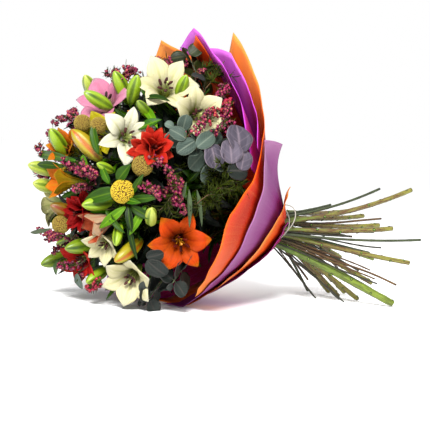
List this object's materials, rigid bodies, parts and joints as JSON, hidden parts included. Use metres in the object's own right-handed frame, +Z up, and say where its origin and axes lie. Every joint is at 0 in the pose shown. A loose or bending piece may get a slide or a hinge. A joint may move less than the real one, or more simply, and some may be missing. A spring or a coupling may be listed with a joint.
{
  "type": "mixed flower bouquet",
  "caption": "Large hand-tied mixed bouquet lying on its side: lilies, alstroemeria, craspedia, boronia and eucalyptus in an orange and purple paper collar, stems spread below the tie.",
  "frame": {"origin": "on the surface it rests on, below the middle of its bounding box", "axes": "+Z up from the surface, the head of flowers towards -X and the cut stems towards +X, the near side of the arrangement towards -Y"},
  "size_m": [0.7254, 0.4614, 0.4377],
  "materials": {
    "petal_white": "satin",
    "petal_pink": "satin",
    "petal_orange": "satin",
    "petal_salmon": "satin",
    "petal_red": "satin",
    "petal_yellow": "satin",
    "petal_scarlet": "satin",
    "lily_green": "satin",
    "alstroemeria_green": "satin",
    "craspedia_gold": "matte",
    "boronia_magenta": "matte",
    "eucalyptus_grey": "matte",
    "needle_green": "matte",
    "paper_orange": "matte",
    "paper_purple": "matte",
    "twine_white": "matte"
  },
  "bodies": {
    "root": {"alstroemeria_1": "alstroemeria_green", "alstroemeria_1_bloom": "petal_scarlet", "alstroemeria_2": "alstroemeria_green", "alstroemeria_2_bloom": "petal_scarlet", "boronia_1": "boronia_magenta", "boronia_2": "boronia_magenta", "boronia_3": "boronia_magenta", "boronia_4": "boronia_magenta", "boronia_5": "boronia_magenta", "boronia_6": "boronia_magenta", "bud_lily": "lily_green", "craspedia_1": "craspedia_gold", "craspedia_2": "craspedia_gold", "craspedia_3": "craspedia_gold", "craspedia_4": "craspedia_gold", "craspedia_5": "craspedia_gold", "craspedia_6": "craspedia_gold", "eucalyptus_1": "eucalyptus_grey", "eucalyptus_2": "eucalyptus_grey", "eucalyptus_3": "eucalyptus_grey", "eucalyptus_4": "eucalyptus_grey", "eucalyptus_5": "eucalyptus_grey", "orange_lily_1": "lily_green", "orange_lily_2": "lily_green", "orange_lily_bloom_1": "petal_orange", "orange_lily_bloom_2": "petal_orange", "orange_lily_bloom_3": "petal_orange", "paper_orange_far": "paper_orange", "paper_orange_low": "paper_orange", "paper_orange_near": "paper_orange", "paper_orange_top": "paper_orange", "paper_purple_far": "paper_purple", "paper_purple_low": "paper_purple", "paper_purple_near": "paper_purple", "paper_purple_panel": "paper_purple", "paper_purple_top": "paper_purple", "pink_lily": "lily_green", "pink_lily_2": "lily_green", "pink_lily_bloom": "petal_pink", "pink_lily_bloom_2": "petal_pink", "red_lily": "lily_green", "red_lily_bloom": "petal_red", "salmon_lily": "lily_green", "salmon_lily_bloom": "petal_salmon", "twine": "twine_white", "waxflower_foliage": "needle_green", "white_lily_1": "lily_green", "white_lily_2": "lily_green", "white_lily_3": "lily_green", "white_lily_4": "lily_green", "white_lily_5": "lily_green", "white_lily_6": "lily_green", "white_lily_bloom_1": "petal_white", "white_lily_bloom_2": "petal_white", "white_lily_bloom_3": "petal_white", "white_lily_bloom_4": "petal_white", "white_lily_bloom_5": "petal_white", "white_lily_bloom_6": "petal_white", "yellow_lily": "lily_green", "yellow_lily_bloom": "petal_yellow"}
  },
  "joints": []
}
